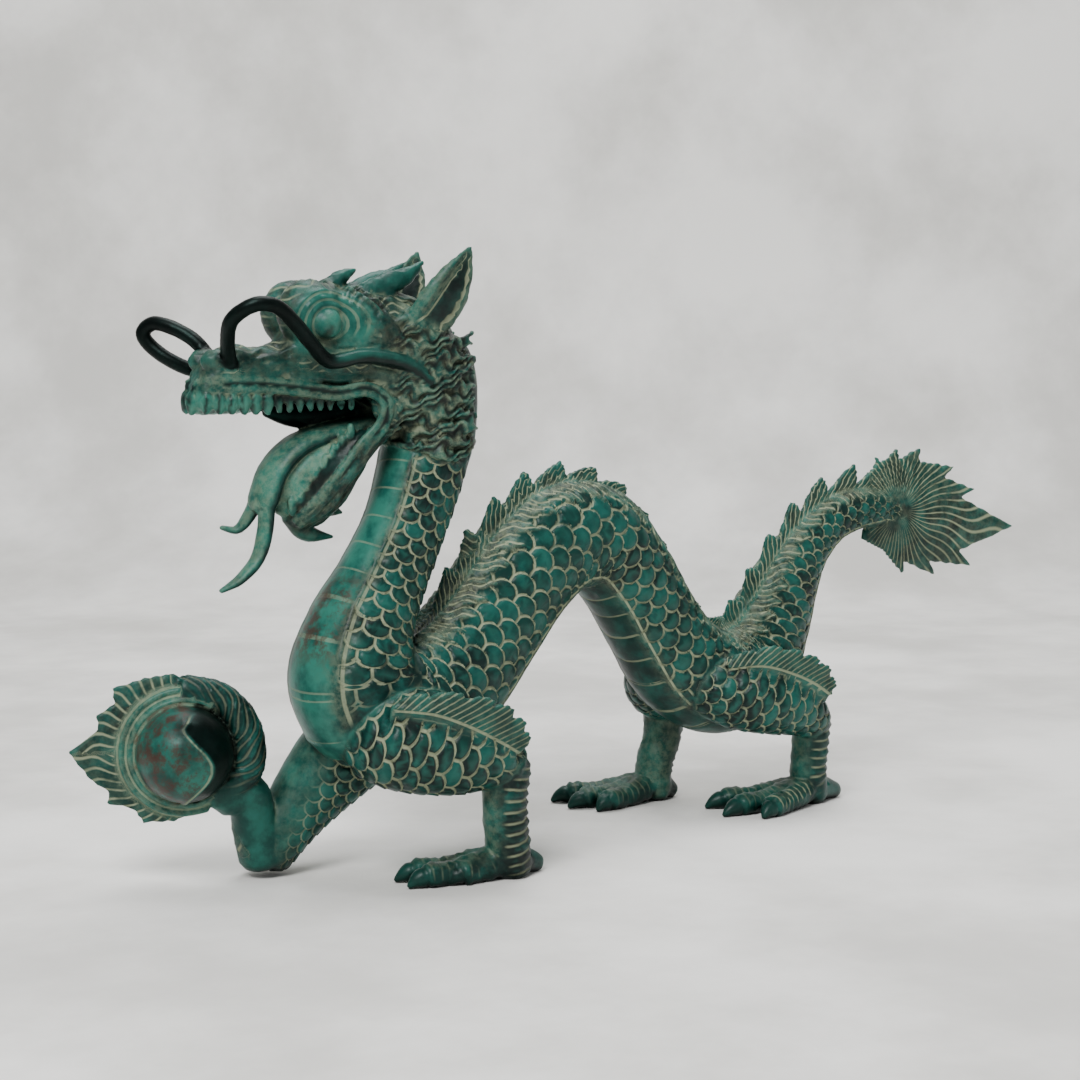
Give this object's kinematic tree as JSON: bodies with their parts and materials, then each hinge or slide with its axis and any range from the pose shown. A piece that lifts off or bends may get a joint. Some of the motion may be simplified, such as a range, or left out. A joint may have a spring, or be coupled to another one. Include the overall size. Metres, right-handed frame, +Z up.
{
  "type": "dragon statue",
  "caption": "Cast bronze dragon statue that stands on its feet and elbow, with an arched scaly body, open mouth, curled whiskers and leaf tail, and holds a pearl in a raised paw.",
  "frame": {"origin": "centre of the bounding box on the surface that the feet stand on", "axes": "-X towards the head and the pearl, +X towards the tail, +Z up, -Y towards the dragon's left side"},
  "size_m": [0.5068, 0.114, 0.26],
  "materials": {
    "bronze": "cast bronze with a dark green patina, pale chalky green in the recesses, near-black whiskers and red-brown copper patches on the pearl"
  },
  "bodies": {
    "root": {"dragon": "bronze"}
  },
  "joints": []
}
